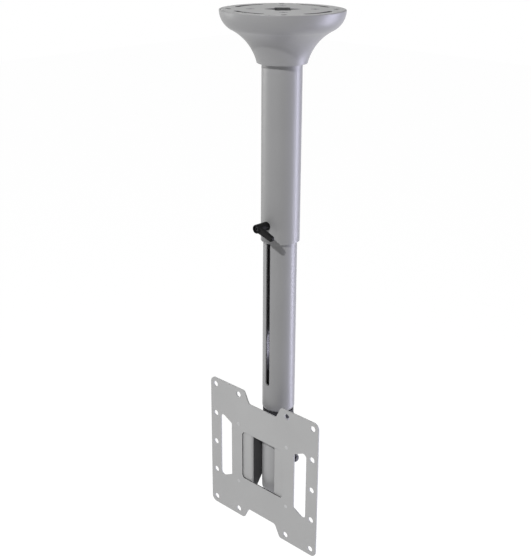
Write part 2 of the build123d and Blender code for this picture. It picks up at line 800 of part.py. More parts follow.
def lock_nut(bore, flats, hex_height, collar_height, plane):
    """A hexagon nut with a round collar that holds its locking insert."""
    blank = hexagon_blank(flats, hex_height, plane)
    normal = Axis(plane.origin, plane.z_dir)
    with BuildPart() as nut:
        add(blank)
        with BuildSketch(plane.offset(hex_height)):
            Circle(flats * nut_collar_share)
        extrude(amount=collar_height)
        collar_rim = nut.edges().filter_by(GeomType.CIRCLE).sort_by(normal)[-1]
        fillet(collar_rim, collar_height * collar_fillet_share)
        with BuildSketch(plane):
            Circle(bore)
        extrude(amount=hex_height + collar_height, mode=Mode.SUBTRACT)
    return nut


def hexagon_bolt(radius, flats, head, length, plane):
    """A bolt whose shank leaves a plane along its normal, with the head behind it."""
    blank = hexagon_blank(flats, head, Plane(plane.origin, plane.x_dir, -plane.z_dir))
    normal = Axis(plane.origin, plane.z_dir)
    with BuildPart() as bolt:
        add(blank)
        with BuildSketch(plane):
            Circle(radius)
        extrude(amount=length)
        shank_end = bolt.edges().filter_by(GeomType.CIRCLE).sort_by(normal)[-1]
        chamfer(shank_end, radius * small_chamfer_share)
    return bolt


# Swivel bolt: its head is in the swivel head's pocket, its thread in the mast
swivel_bolt_top = swivel_nut_z + swivel_nut_hex + swivel_nut_collar + swivel_bolt_end
swivel_bolt = hexagon_bolt(
    swivel_bolt_radius,
    swivel_bolt_flats,
    swivel_bolt_head,
    swivel_bolt_top - pocket_top,
    Plane.XY.offset(pocket_top),
)
swivel_bolt.part.label = "swivel_bolt"
export_step(swivel_bolt.part, "parts/swivel_bolt.step")

# Swivel washer and disc spring, stacked on the plug
swivel_bolt_bore = swivel_bolt_radius + seating_clearance
swivel_washer = washer(
    swivel_bolt_bore,
    swivel_washer_radius,
    swivel_washer_thickness,
    Plane.XY.offset(plug_top),
)
swivel_washer.part.label = "swivel_washer"
export_step(swivel_washer.part, "parts/swivel_washer.step")

swivel_spring = disc_spring(
    swivel_bolt_bore,
    swivel_spring_radius,
    swivel_spring_thickness,
    Plane.XY.offset(plug_top + swivel_washer_thickness),
)
swivel_spring.part.label = "swivel_spring"
export_step(swivel_spring.part, "parts/swivel_spring.step")

# Swivel nut
swivel_nut = lock_nut(
    swivel_bolt_bore,
    swivel_nut_flats,
    swivel_nut_hex,
    swivel_nut_collar,
    Plane.XY.offset(swivel_nut_z),
)
swivel_nut.part.label = "swivel_nut"
export_step(swivel_nut.part, "parts/swivel_nut.step")

# Swivel head: a cast post with a round lower end and a flat on each side
with BuildPart() as swivel_head:
    with BuildSketch(Plane.XY.offset(head_bottom)):
        Circle(head_radius)
    extrude(amount=head_length)
    fillet(swivel_head.edges().group_by(Axis.Z)[0], head_bottom_fillet)
    chamfer(swivel_head.edges().group_by(Axis.Z)[-1], head_top_chamfer)
    flat_height = pivot_z + head_flat_rise - head_bottom
    with BuildSketch(Plane.XY.offset(head_bottom)):
        with Locations((head_flat + head_radius, 0), (-head_flat - head_radius, 0)):
            Rectangle(head_radius * 2, head_radius * 2)
    extrude(amount=flat_height, mode=Mode.SUBTRACT)
    with BuildSketch(Plane.XY.offset(head_bottom)):
        Circle(head_pocket_radius)
    extrude(amount=pocket_top - head_bottom, mode=Mode.SUBTRACT)
    with BuildSketch(Plane.XY.offset(pocket_top)):
        Circle(swivel_bolt_radius + running_clearance)
    extrude(amount=head_crown, mode=Mode.SUBTRACT)
    with BuildSketch(Plane.YZ):
        with Locations((0, pivot_z)):
            Circle(pivot_radius + running_clearance)
    extrude(amount=head_radius, both=True, mode=Mode.SUBTRACT)
swivel_head.part.label = "swivel_head"
export_step(swivel_head.part, "parts/swivel_head.step")


def pivot_plane(x, side):
    """A plane across the tilt pivot that faces +X for side 1 and -X for side -1."""
    return Plane(origin=(x * side, 0, pivot_z), x_dir=(0, 1, 0), z_dir=(side, 0, 0))


# Friction washers between the head's flats and the arms
friction_washers = washer(
    pivot_radius + running_clearance,
    friction_washer_radius,
    arm_gap - head_flat,
    pivot_plane(head_flat, 1),
    pivot_plane(head_flat, -1),
)
friction_washers.part.label = "friction_washers"
export_step(friction_washers.part, "parts/friction_washers.step")

# Pivot washers, one under the bolt's head and one under the disc spring
pivot_bolt_bore = pivot_radius + seating_clearance
pivot_washers = washer(
    pivot_bolt_bore,
    pivot_washer_radius,
    pivot_washer_thickness,
    pivot_plane(arm_outer, 1),
    pivot_plane(arm_outer, -1),
)
pivot_washers.part.label = "pivot_washers"
export_step(pivot_washers.part, "parts/pivot_washers.step")

# Pivot disc spring: keeps the tilt stiff
pivot_stack = arm_outer + pivot_washer_thickness
pivot_spring = disc_spring(
    pivot_bolt_bore,
    pivot_spring_radius,
    pivot_spring_thickness,
    pivot_plane(pivot_stack, 1),
)
pivot_spring.part.label = "pivot_spring"
export_step(pivot_spring.part, "parts/pivot_spring.step")

# Pivot nut
pivot_nut_x = pivot_stack + pivot_spring_thickness
pivot_nut = lock_nut(
    pivot_bolt_bore,
    pivot_nut_flats,
    pivot_nut_hex,
    pivot_nut_collar,
    pivot_plane(pivot_nut_x, 1),
)
pivot_nut.part.label = "pivot_nut"
export_step(pivot_nut.part, "parts/pivot_nut.step")

# Pivot bolt: its head is on the left arm and it runs through the swivel head
pivot_bolt_tip = pivot_nut_x + pivot_nut_hex + pivot_nut_collar + pivot_bolt_end
pivot_bolt = hexagon_bolt(
    pivot_radius,
    pivot_bolt_flats,
    pivot_bolt_head,
    pivot_stack + pivot_bolt_tip,
    Plane(origin=(-pivot_stack, 0, pivot_z), x_dir=(0, 1, 0), z_dir=(1, 0, 0)),
)
pivot_bolt.part.label = "pivot_bolt"
export_step(pivot_bolt.part, "parts/pivot_bolt.step")

# Tilt arms: folded steel angles, each with a tapered cheek and a round ear
cheek_reach = arm_half_height - arm_thickness * arm_taper
back_reach = cheek_reach - (arm_back_edge - flange_back) * arm_taper
ear_rise = plate_centre_z + cheek_reach - pivot_z
ear_turn = asin(arm_ear_radius / hypot(flange_back, ear_rise)) + atan2(-flange_back, ear_rise)
ear_tangent = (arm_ear_radius * cos(ear_turn), pivot_z + arm_ear_radius * sin(ear_turn))
with BuildPart() as tilt_arm_right:
    with BuildSketch(Plane.XY.offset(plate_centre_z - arm_half_height)):
        with BuildLine():
            Polyline(
                (arm_gap, plate_back),
                (arm_flange_reach, plate_back),
                (arm_flange_reach, flange_back),
                (arm_outer, flange_back),
                (arm_outer, arm_ear_radius),
                (arm_gap, arm_ear_radius),
                close=True,
            )
        make_face()
    extrude(amount=arm_half_height * 2)
    bend = tilt_arm_right.edges().filter_by(Axis.Z).sort_by_distance((arm_gap, plate_back))
    fillet(bend[0], arm_bend_radius + arm_thickness)
    bend = tilt_arm_right.edges().filter_by(Axis.Z).sort_by_distance((arm_outer, flange_back))
    fillet(bend[0], arm_bend_radius)
    fillet(tilt_arm_right.edges().filter_by(Axis.Y).group_by(Axis.X)[-1], arm_flange_corner)
    with BuildSketch(Plane.YZ):
        with BuildLine():
            Polyline(
                (plate_back, plate_centre_z - arm_half_height),
                (flange_back, plate_centre_z - cheek_reach),
                (arm_back_edge, plate_centre_z - back_reach),
                (arm_back_edge, pivot_z),
                ear_tangent,
                (flange_back, plate_centre_z + cheek_reach),
                (plate_back, plate_centre_z + arm_half_height),
                close=True,
            )
        make_face()
        with Locations((0, pivot_z)):
            Circle(arm_ear_radius)
            Circle(pivot_bolt_bore, mode=Mode.SUBTRACT)
    extrude(amount=arm_flange_reach, mode=Mode.INTERSECT)
    with BuildSketch(Plane.XZ.offset(-flange_back)):
        with Locations((rivet_columns / 2, plate_centre_z)):
            with GridLocations(0, rivet_pitch, 1, 2):
                Circle(rivet_radius + seating_clearance)
    extrude(amount=arm_thickness, mode=Mode.SUBTRACT)
    ear_foot = (arm_outer, arm_back_edge, pivot_z - arm_ear_radius)
    fillet(
        tilt_arm_right.edges().filter_by(Axis.X).sort_by_distance(ear_foot)[0],
        arm_ear_blend,
    )
tilt_arm_right.part.label = "tilt_arm_right"
export_step(tilt_arm_right.part, "parts/tilt_arm_right.step")

with BuildPart() as tilt_arm_left:
    mirror(tilt_arm_right.part, about=Plane.YZ)
tilt_arm_left.part.label = "tilt_arm_left"
export_step(tilt_arm_left.part, "parts/tilt_arm_left.step")

# Screen plate: flat steel, notched above and below, with three windows
half_size = screen_plate_size / 2
notch_bottom = half_size - notch_depth
window_short = side_window_inner_height / 2
window_tall = side_window_outer_height / 2
plate_sketch = Plane(origin=(0, plate_back, plate_centre_z), x_dir=(1, 0, 0), z_dir=(0, -1, 0))


def corners(sketch, x, y):
    """The corners of a sketch that lie this far from its two middle lines."""
    return sketch.vertices().filter_by(
        lambda v: hypot(abs(v.X) - x, abs(v.Y) - y) < corner_tolerance
    )


with BuildPart() as screen_plate:
    with BuildSketch(plate_sketch) as outline:
        Rectangle(screen_plate_size, screen_plate_size)
        for end in (1, -1):
            with BuildLine():
                Polyline(
                    (-notch_mouth / 2, end * half_size),
                    (-notch_floor / 2, end * notch_bottom),
                    (notch_floor / 2, end * notch_bottom),
                    (notch_mouth / 2, end * half_size),
                    close=True,
                )
            make_face(mode=Mode.SUBTRACT)
            with BuildLine():
                Polyline(
                    (end * side_window_inner, -window_short),
                    (end * side_window_outer, -window_tall),
                    (end * side_window_outer, window_tall),
                    (end * side_window_inner, window_short),
                    close=True,
                )
            make_face(mode=Mode.SUBTRACT)
        Rectangle(window_width, window_height, mode=Mode.SUBTRACT)
        fillet(corners(outline, half_size, half_size), screen_plate_corner)
        fillet(corners(outline, notch_mouth / 2, half_size), notch_fillet)
        fillet(corners(outline, notch_floor / 2, notch_bottom), notch_fillet)
        fillet(corners(outline, window_width / 2, window_height / 2), window_corner)
        fillet(corners(outline, side_window_outer, window_tall), side_window_outer_corner)
        fillet(corners(outline, side_window_inner, window_short), side_window_inner_corner)
        with GridLocations(vesa_pitch, vesa_pitch / (vesa_side_holes - 1), 2, vesa_side_holes):
            Circle(vesa_hole_diameter / 2, mode=Mode.SUBTRACT)
        with GridLocations(vesa_pitch / 2, vesa_pitch, 2, 2):
            Circle(vesa_hole_diameter / 2, mode=Mode.SUBTRACT)
    extrude(amount=screen_plate_thickness)
    with Locations(plate_sketch.offset(screen_plate_thickness)):
        with GridLocations(rivet_columns, rivet_pitch, 2, 2):
            CounterSinkHole(
                rivet_radius + seating_clearance,
                rivet_head_radius + seating_clearance,
                depth=screen_plate_thickness,
            )
screen_plate.part.label = "screen_plate"
export_step(screen_plate.part, "parts/screen_plate.step")

# Arm rivets: flush in the plate's front, domed behind the arms' flanges
with BuildPart() as arm_rivets:
    with Locations(plate_sketch.offset(screen_plate_thickness)):
        with GridLocations(rivet_columns, rivet_pitch, 2, 2):
            Cylinder(
                rivet_radius,
                screen_plate_thickness + arm_thickness,
                align=(Align.CENTER, Align.CENTER, Align.MAX),
            )
            Cone(
                rivet_radius,
                rivet_head_radius,
                rivet_head_radius - rivet_radius,
                align=(Align.CENTER, Align.CENTER, Align.MAX),
            )
    with Locations(plate_sketch.offset(-arm_thickness)):
        with GridLocations(rivet_columns, rivet_pitch, 2, 2):
            Cylinder(
                rivet_dome_radius,
                rivet_dome_height,
                align=(Align.CENTER, Align.CENTER, Align.MAX),
            )
    dome_rims = arm_rivets.edges().filter_by(GeomType.CIRCLE).group_by(Axis.Y)[-1]
    fillet(dome_rims, rivet_dome_fillet)
arm_rivets.part.label = "arm_rivets"
export_step(arm_rivets.part, "parts/arm_rivets.step")
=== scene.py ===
# %% [markdown]
# # A ceiling mount for a television
# The mount hangs a screen under a ceiling. A bell-shaped cover hides the ceiling plate, an
# outer and an inner tube slide in each other, a lever clamps them, and a cast head at the
# lower end swivels and carries the tilting plate that the screen is bolted to.
#
# The rigid pieces come from the solid model, already in place and at full size. This
# lesson gives each of them a finish, rounds the edges that a press or a mould leaves round,
# and makes the bell, the rivets, the spring and the threads again with Geometry Nodes,
# because each of those follows a rule or repeats.

# %% Tools and the solid model
import json
import math

import bmesh
import bpy
from mathutils import Matrix, Vector


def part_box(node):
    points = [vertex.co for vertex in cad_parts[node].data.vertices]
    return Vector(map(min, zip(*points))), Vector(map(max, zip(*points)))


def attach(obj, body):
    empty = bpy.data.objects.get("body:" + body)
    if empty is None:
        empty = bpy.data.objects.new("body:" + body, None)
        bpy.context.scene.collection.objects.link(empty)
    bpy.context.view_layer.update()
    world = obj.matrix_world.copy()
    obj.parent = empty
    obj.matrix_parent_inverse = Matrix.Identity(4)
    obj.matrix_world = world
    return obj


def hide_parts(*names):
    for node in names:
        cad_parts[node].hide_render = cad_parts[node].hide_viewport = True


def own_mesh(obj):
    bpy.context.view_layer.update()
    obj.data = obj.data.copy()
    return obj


MM = 0.001
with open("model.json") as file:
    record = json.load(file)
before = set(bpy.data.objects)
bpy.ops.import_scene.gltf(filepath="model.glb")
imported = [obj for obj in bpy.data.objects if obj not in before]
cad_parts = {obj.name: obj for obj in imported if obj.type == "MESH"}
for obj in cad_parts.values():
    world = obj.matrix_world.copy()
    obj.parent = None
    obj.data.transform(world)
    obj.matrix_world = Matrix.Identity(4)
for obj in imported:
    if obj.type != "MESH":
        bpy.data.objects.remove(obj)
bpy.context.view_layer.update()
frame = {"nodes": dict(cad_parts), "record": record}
solids = frame["nodes"]
print("pieces in the solid model:", len(solids))

# %% [markdown]
# ## Camera
# The photograph was taken from the front right, a little above the ceiling plate, with a
# moderately long lens. The place and the angles below were found by matching the holes of
# the screen plate and the rims of the tubes, so the render lines up with the picture.

# %% Camera
EYE = Vector((0.91687, -0.96649, 0.13162))
LOOK_TURN = math.radians(44.36)     # to the left of +Y
LOOK_DOWN = math.radians(20.76)
LOOK_ROLL = math.radians(0.34)
LENS = 64.53                        # for a 36 mm film along the longer side

ahead = Vector((
    -math.sin(LOOK_TURN) * math.cos(LOOK_DOWN),
    math.cos(LOOK_TURN) * math.cos(LOOK_DOWN),
    -math.sin(LOOK_DOWN),
))
right = Vector((math.cos(LOOK_TURN), math.sin(LOOK_TURN), 0))
up = right.cross(ahead)
camera_right = right * math.cos(LOOK_ROLL) + up * math.sin(LOOK_ROLL)
camera_up = up * math.cos(LOOK_ROLL) - right * math.sin(LOOK_ROLL)

camera = bpy.data.objects.new("camera", bpy.data.cameras.new("camera"))
turn = Matrix((camera_right, camera_up, -ahead)).transposed()
camera.matrix_world = Matrix.Translation(EYE) @ turn.to_4x4()
camera.data.lens = LENS
camera.data.sensor_width = 36
camera.data.clip_end = 50
bpy.context.scene.collection.objects.link(camera)
bpy.context.scene.camera = camera
bpy.context.scene.view_settings.view_transform = "Standard"
print("camera to the mount's origin, in metres:", round(EYE.length, 3))

# %% [markdown]
# ## Nodes written as sums
# Finishes, the bell and the spring are all networks of nodes. Written node by node they
# would be long and hard to read. So one small class wraps a node's output and lets Python's
# operators add the Math nodes, and one method of the network adds every other node.

# %% A wire between nodes
class Wire:
    """One output of a node, ready for sums with numbers and other wires."""

    def __init__(self, network, socket):
        self.network = network
        self.socket = socket

    def _math(self, operation, *values):
        sockets = dict(enumerate(values))
        return self.network.node("ShaderNodeMath", {"operation": operation}, sockets)

    def __add__(self, other):
        return self._math("ADD", self, other)

    def __radd__(self, other):
        return self._math("ADD", other, self)

    def __sub__(self, other):
        return self._math("SUBTRACT", self, other)

    def __rsub__(self, other):
        return self._math("SUBTRACT", other, self)

    def __mul__(self, other):
        return self._math("MULTIPLY", self, other)

    def __truediv__(self, other):
        return self._math("DIVIDE", self, other)

    def __gt__(self, other):
        return self._math("GREATER_THAN", self, other)

    def __lt__(self, other):
        return self._math("LESS_THAN", self, other)

    def root(self):
        return self._math("SQRT", self)

    def sin(self):
        return self._math("SINE", self)

    def cos(self):
        return self._math("COSINE", self)

    def arcsin(self):
        return self._math("ARCSINE", self)

    def angle_over(self, other):
        """The angle whose rise is this wire and whose run is the other."""
        return self._math("ARCTAN2", self, other)

    def at_least(self, other):
        return self._math("MAXIMUM", self, other)

    def beside(self, output):
        """Another output of the same node."""
        return Wire(self.network, self.socket.node.outputs[output])


# %% A network of nodes
class Network:
    """A node tree that is built with one method."""

    def __init__(self, tree):
        self.tree = tree

    def node(self, kind, settings, inputs, output=0):
        """Adds one node: its settings first, then its sockets' values or links."""
        added = self.tree.nodes.new(kind)
        for key, value in settings.items():
            if key == "stops":
                ramp = added.color_ramp.elements
                while len(ramp) < len(value):
                    ramp.new(0.5)
                for element, (position, colour) in zip(ramp, value):
                    element.position = position
                    element.color = colour
            else:
                setattr(added, key, value)
        for key, value in inputs.items():
            for one in value if isinstance(value, list) else [value]:
                if isinstance(one, Wire):
                    self.tree.links.new(one.socket, added.inputs[key])
                else:
                    added.inputs[key].default_value = one
        return None if output is None else Wire(self, added.outputs[output])


# %% A finish
class Finish(Network):
    """A material with its nodes and its Principled shader."""

    def __init__(self, name, constants):
        self.material = bpy.data.materials.new(name)
        self.material.use_nodes = True
        super().__init__(self.material.node_tree)
        self.tree.nodes.clear()
        self.shader = self.tree.nodes.new("ShaderNodeBsdfPrincipled")
        output = self.tree.nodes.new("ShaderNodeOutputMaterial")
        self.tree.links.new(self.shader.outputs[0], output.inputs[0])
        for socket, value in constants.items():
            self.shader.inputs[socket].default_value = value
        self.place = self.node("ShaderNodeTexCoord", {}, {}, "Object")

    def feed(self, socket, wire):
        """Links a wire to one of the Principled shader's sockets."""
        self.tree.links.new(wire.socket, self.shader.inputs[socket])

    def stretched(self, scale):
        """Object coordinates with the pattern stretched differently along X, Y and Z."""
        return self.node("ShaderNodeMapping", {}, {"Vector": self.place, "Scale": scale})

    def grain(self, scale, detail=2.0, place=None):
        """Noise with about this many waves in a metre."""
        return self.node(
            "ShaderNodeTexNoise",
            {},
            {"Vector": place or self.place, "Scale": scale, "Detail": detail},
        )

    def tint(self, amount, low, high):
        """A colour between two, by an amount that noise gives."""
        return self.node(
            "ShaderNodeValToRGB",
            {"stops": [(0.25, (*low, 1)), (0.75, (*high, 1))]},
            {"Fac": amount},
        )

    def relief(self, height, distance):
        """Bumps as high as a distance in metres."""
        return self.node("ShaderNodeBump", {}, {"Distance": distance, "Height": height})


# %% [markdown]
# ## Finishes
# ### Silver coat of the tubes, the cover and the swivel head
# These are steel and aluminium under a satin silver powder coat. The coat holds fine metal
# flakes: seen close it is slightly uneven, like orange peel, and it brightens where a lamp
# grazes a tube. A plain grey would look like plastic, and a full metal would look polished,
# so the shader is slightly metallic, with a soft clear layer over it. The cast head has
# the same coat with a coarser surface, and its colour is made a little lighter, which paints in
# more light on it.

# %% Silver coat
def silver_coat(name, low, high, metal, peel_height):
    coat = Finish(name, {
        "Metallic": metal, "Coat Roughness": 0.38, "Specular IOR Level": 0.35,
    })
    flakes = coat.grain(2600, 1)
    peel = coat.grain(420, 3)
    clouds = coat.grain(9, 2)
    coat.feed("Base Color", coat.tint(flakes * 0.6 + clouds * 0.4, low, high))
    coat.feed("Roughness", 0.36 + flakes * 0.06 + clouds * 0.05)
    coat.feed("Coat Weight", 0.12 + peel * 0.1)
    coat.feed("Normal", coat.relief(peel + flakes * 0.5, peel_height))
    return coat.material


TUBE_COLOURS = (0.185, 0.185, 0.187), (0.225, 0.225, 0.228)
# The head's colours are a little lighter than the tubes', which paints in more light on the
# head.
HEAD_COLOURS_PAINTED_LIGHTER = (0.235, 0.235, 0.237), (0.285, 0.285, 0.288)
TUBE_PEEL = 0.006 * MM
HEAD_PEEL = 0.016 * MM
silver_paint = silver_coat("silver_coat_tubes", *TUBE_COLOURS, 0.12, TUBE_PEEL)
silver_cover = silver_coat("silver_coat_cover", *TUBE_COLOURS, 0.12, TUBE_PEEL)
silver_casting = silver_coat("silver_coat_head", *HEAD_COLOURS_PAINTED_LIGHTER, 0.1, HEAD_PEEL)
print("silver coats:", silver_paint.name, silver_cover.name, silver_casting.name)


# %% [markdown]
# ### Grey coat of the plates and the arms
# The flat parts have a matte grey powder coat with a very fine grain and almost no shine.
# A fine noise gives the grain, and a slow one the slight unevenness that a spray gun leaves.
# The walls of slots and windows and the arms' inner sides are much darker, because they lie in
# shade.
# That shade is painted in: they get a dark copy of the same coat.

# %% Grey coat
def grey_coat(name, low, high):
    coat = Finish(name, {"Metallic": 0.05, "Specular IOR Level": 0.35})
    grain = coat.grain(1700, 2)
    clouds = coat.grain(14, 2)
    coat.feed("Base Color", coat.tint(grain * 0.5 + clouds * 0.5, low, high))
    coat.feed("Roughness", 0.52 + grain * 0.1)
    coat.feed("Normal", coat.relief(grain, 0.02 * MM))
    return coat.material


grey_paint = grey_coat("grey_coat", (0.28, 0.28, 0.28), (0.32, 0.32, 0.32))
# A dark copy of the coat: painted shade for walls, slots and inner sides.
painted_shade_coat = grey_coat("grey_coat_thin", (0.045, 0.045, 0.046), (0.07, 0.07, 0.072))
print("grey coats:", grey_paint.name, painted_shade_coat.name)


# %% [markdown]
# ### Fixings
# Zinc plated screws, blackened screws, rivets, springs and the cast alloy inside are all
# bare metal. Fine lines from turning and a cloudy sheen tell them apart from paint. The
# tilt bolt's zinc is made much darker, which paints in the shade it sits in behind the plate,
# and the screws that lie in the ceiling plate's top are dull. One rule makes all of them from a
# row of a table.

# %% Metals
def bare_metal(name, low, high, roughness, line_height):
    metal = Finish(name, {"Metallic": 0.95})
    lines = metal.grain(700, 3, metal.stretched((1, 1, 6)))
    clouds = metal.grain(160, 2)
    metal.feed("Base Color", metal.tint(lines * 0.5 + clouds * 0.5, low, high))
    metal.feed("Roughness", roughness + clouds * 0.12)
    metal.feed("Normal", metal.relief(lines, line_height))
    return metal.material


# Name, darkest and lightest colour, roughness, height of the lines in millimetres
METALS = (
    ("zinc_plate", (0.22, 0.22, 0.227), (0.32, 0.32, 0.33), 0.27, 0.01),
    ("rivet_steel", (0.4, 0.4, 0.405), (0.5, 0.5, 0.508), 0.42, 0.01),
    ("dull_zinc", (0.2, 0.2, 0.205), (0.26, 0.26, 0.266), 0.6, 0.01),
    # A much darker zinc: painted shade for the tilt bolt behind the plate.
    ("dark_zinc", (0.035, 0.035, 0.037), (0.06, 0.06, 0.062), 0.34, 0.01),
    ("blackened_steel", (0.02, 0.02, 0.021), (0.05, 0.05, 0.052), 0.36, 0.01),
    ("spring_steel", (0.3, 0.3, 0.31), (0.42, 0.42, 0.43), 0.25, 0.006),
    ("cast_alloy", (0.4, 0.4, 0.405), (0.5, 0.5, 0.505), 0.45, 0.04),
)
metals = {
    name: bare_metal(name, low, high, roughness, line_height * MM)
    for name, low, high, roughness, line_height in METALS
}
print("metals:", *metals)


# %% [markdown]
# ### Plastics
# The lever, the guides and the swivel ring are moulded. A spark-eroded mould leaves a fine
# even grain, and the plastic keeps a faint broad shine.

# %% Plastics
def moulded(name, low, high, roughness, grain_height):
    plastic = Finish(name, {"Specular IOR Level": 0.1})
    grain = plastic.grain(3200, 2)
    clouds = plastic.grain(60, 2)
    plastic.feed("Base Color", plastic.tint(grain * 0.4 + clouds * 0.6, low, high))
    plastic.feed("Roughness", roughness + grain * 0.12)
    plastic.feed("Normal", plastic.relief(grain, grain_height))
    return plastic.material


black_plastic = moulded(
    "black_plastic", (0.003, 0.003, 0.0032), (0.006, 0.006, 0.0064), 0.42, 0.03 * MM
)
dark_plastic = moulded(
    "dark_plastic", (0.022, 0.022, 0.024), (0.034, 0.034, 0.036), 0.5, 0.015 * MM
)
print("plastics:", black_plastic.name, dark_plastic.name)

# %% Finishes on the solid pieces
finishes = {
    "silver_paint": silver_paint,
    "silver_cover": silver_cover,
    "silver_casting": silver_casting,
    "grey_paint": grey_paint,
    "zinc_steel": metals["zinc_plate"],
    "black_steel": metals["blackened_steel"],
    "spring_steel": metals["spring_steel"],
    "cast_alloy": metals["cast_alloy"],
    "black_plastic": black_plastic,
    "dark_plastic": dark_plastic,
}
record = frame["record"]
slot_of = {part["node"]: part["material_slot"] for part in record["subparts"]}
body_of = {
    node: body for body, members in record["behaviour"]["bodies"].items() for node in members
}
for name, solid in solids.items():
    solid.data.materials.clear()
    solid.data.materials.append(finishes[slot_of[name]])
# The collar's screws lie in the plate's top face and are as dull as it is.
solids["flange_screws"].data.materials[0] = metals["dull_zinc"]
# The tilt bolt and all that is on it get a much darker zinc, which paints in the shade they sit
# in behind the plate.
for name in ("pivot_bolt", "pivot_nut", "pivot_washers", "pivot_spring"):
    solids[name].data.materials[0] = metals["dark_zinc"]
print("finishes:", len(finishes))


# %% [markdown]
# ## New pieces
# A new piece stands in for a solid one: it rides on the same body, takes its finish from the
# same slot, and hides the solid, which keeps its weight and its collisions. Its object stays
# at the origin, so a finish on Object coordinates doesn't slide.
#
# The solids come as loose triangles. A copy is welded and its flats are cleared of edges
# before a modifier works on it.

# %% Taking a solid piece's place
WELD = 0.002 * MM
FLAT_WITHIN = math.radians(0.6)


def stands_for(piece, node):
    """Makes a new piece take a solid one's place, with its finish."""
    piece.data.materials.clear()
    piece.data.materials.append(finishes[slot_of[node]])
    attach(piece, body_of[node])
    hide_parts(node)


def kept_mesh(thing, name):
    """The result of an object's modifiers as a new plain object; the object goes."""
    evaluated = thing.evaluated_get(bpy.context.evaluated_depsgraph_get())
    mesh = bpy.data.meshes.new_from_object(evaluated)
    mesh.name = name
    source = thing.data
    thing.modifiers.clear()
    bpy.data.objects.remove(thing)
    bpy.data.meshes.remove(source)
    result = bpy.data.objects.new(name, mesh)
    bpy.context.scene.collection.objects.link(result)
    return result


def smooth_but(mesh, angle):
    """Smooth shading, with edges sharper than an angle in degrees kept crisp."""
    mesh.shade_smooth()
    mesh.set_sharp_from_angle(angle=math.radians(angle))


def merged_copy(node, name):
    """A copy of a solid piece, its loose triangles joined and its flats cleared."""
    mesh = solids[node].data.copy()
    work = bmesh.new()
    work.from_mesh(mesh)
    bmesh.ops.remove_doubles(work, verts=work.verts, dist=WELD)
    bmesh.ops.dissolve_limit(
        work, angle_limit=FLAT_WITHIN, verts=work.verts, edges=work.edges
    )
    work.to_mesh(mesh)
    work.free()
    thing = bpy.data.objects.new(name, mesh)
    bpy.context.scene.collection.objects.link(thing)
    return thing


def middle(node, axis):
    """The middle of a solid piece's box along one axis."""
    low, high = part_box(node)
    return (low[axis] + high[axis]) / 2


# %% Rounded edges
CREASE = 32                     # degrees; sharper edges are shaded crisp
ROUNDED_FROM = 40               # degrees; sharper edges are rounded
LARGE_FACE = 30 * MM * MM


def flats_kept_flat(mesh):
    """Turns the corner normals of every large face back to its own."""
    normals = [corner.vector.copy() for corner in mesh.corner_normals]
    for face in mesh.polygons:
        if face.area > LARGE_FACE:
            for corner in face.loop_indices:
                normals[corner] = face.normal.copy()
    mesh.normals_split_custom_set(normals)


def edges_rounded(thing, name, width, segments=2):
    """The same piece with its sharp edges rounded."""
    smooth_but(thing.data, CREASE)
    bevel = thing.modifiers.new("edge", "BEVEL")
    bevel.width = width
    bevel.segments = segments
    bevel.limit_method = "ANGLE"
    bevel.angle_limit = math.radians(ROUNDED_FROM)
    bevel.harden_normals = True
    piece = kept_mesh(thing, name)
    flats_kept_flat(piece.data)
    print(name, "faces:", len(piece.data.polygons))
    return piece


# %% [markdown]
# ### Sheet metal with broken edges
# The screen plate, the arms and the ceiling plate are cut from sheet and then coated. No
# cut edge stays knife-sharp: tumbling and the coat leave a round of a few tenths of a
# millimetre, which catches the light as a thin line. A Bevel modifier on a merged copy of
# each solid does this, and it is cheap because only edges sharper than 40 degrees count.
# The large flats keep their own normals, so the rounds don't shade them. Rules on a face's
# direction and place then pick the walls and the inner sides that lie in shade, and paint that
# shade on them with the dark coat.

# %% Rounded copies of the sheet pieces
def rounded_copy(node, width):
    """A copy of a solid piece with its sharp edges rounded, in the solid's place."""
    piece = edges_rounded(merged_copy(node, node + "_work"), node + "_coated", width)
    stands_for(piece, node)
    return piece


def shade_painted_on(piece, in_shade):
    """Paints shade on the faces that a rule picks, with the dark coat, and says how many there
    are.
    """
    piece.data.materials.append(painted_shade_coat)
    picked = [face for face in piece.data.polygons if in_shade(face)]
    for face in picked:
        face.material_index = 1
    print(piece.name, "faces with a thin coat:", len(picked))


ALONG = 0.3                     # a normal's part along an axis, for a face beside it
FACING = 0.9                    # and for a face that looks along it

PLATE_CENTRE = middle("screen_plate", 2)
WINDOW_SIDE = 42 * MM           # from the plate's middle to just past its middle window
WINDOW_END = 50.4 * MM
screen_plate = rounded_copy("screen_plate", 0.3 * MM)
shade_painted_on(screen_plate, lambda face: (
    abs(face.normal.y) < ALONG
    and abs(face.center.x) < WINDOW_SIDE
    and abs(face.center.z - PLATE_CENTRE) < WINDOW_END
))

ARM_SIDE = 22.4 * MM            # from the middle plane to just past an arm's inner side
for side in ("right", "left"):
    arm = rounded_copy("tilt_arm_" + side, 0.35 * MM)
    shade_painted_on(arm, lambda face: (
        abs(face.normal.x) > FACING and abs(face.center.x) < ARM_SIDE
    ))

PATTERN_REACH = 75 * MM         # holes and slots of the ceiling plate lie within this
ceiling_plate = rounded_copy("ceiling_plate", 0.35 * MM)
shade_painted_on(ceiling_plate, lambda face: (
    abs(face.normal.z) < ALONG and face.center.xy.length < PATTERN_REACH
))


# %% [markdown]
# ### Moulded lever
# The lever's hub and arm come out of one mould, so they flow into each other with a small
# fillet all round. Selecting that seam by hand is fiddly. A voxel remesh of the solid and a
# few passes of smoothing give the same soft joint.

